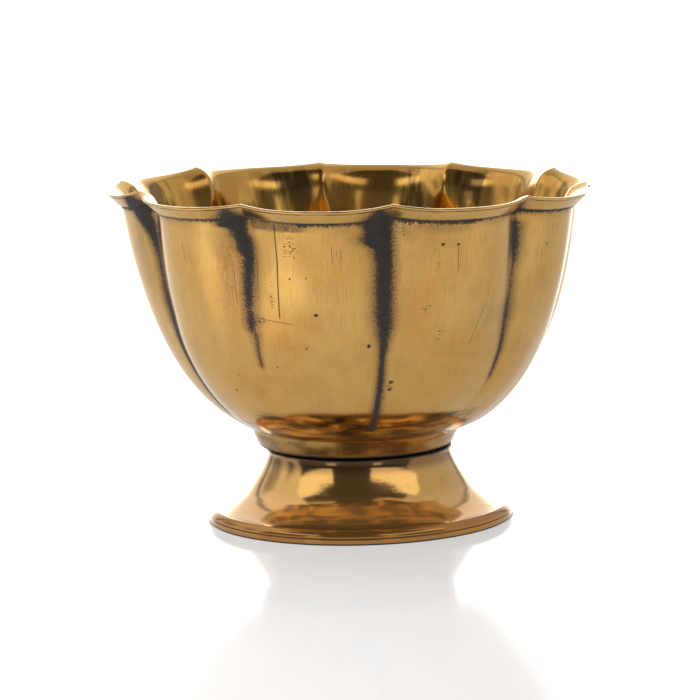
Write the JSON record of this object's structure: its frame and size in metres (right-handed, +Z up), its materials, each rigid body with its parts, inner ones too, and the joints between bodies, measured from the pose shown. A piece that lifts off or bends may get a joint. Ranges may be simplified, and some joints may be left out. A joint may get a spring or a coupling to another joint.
{
  "type": "pedestal bowl",
  "caption": "Round brass bowl with a fluted wall and an everted lip on a hollow flared foot, drawn together by a stud, washer and nut.",
  "frame": {"origin": "centre of the foot's resting face", "axes": "+Z up along the axis of the bowl and the foot, +X through the middle of a lobe, -Y through a crease"},
  "size_m": [0.0762, 0.074, 0.0526],
  "materials": {
    "satin_brass": "satin, brushed up and down the wall, dark tarnish in the creases and under the lip",
    "polished_brass": "turned and mirror polished",
    "fastener_brass": "dull, as turned"
  },
  "bodies": {
    "root": {"bowl": "satin_brass", "foot": "polished_brass", "stud": "fastener_brass", "washer": "fastener_brass", "nut": "fastener_brass"}
  },
  "joints": []
}
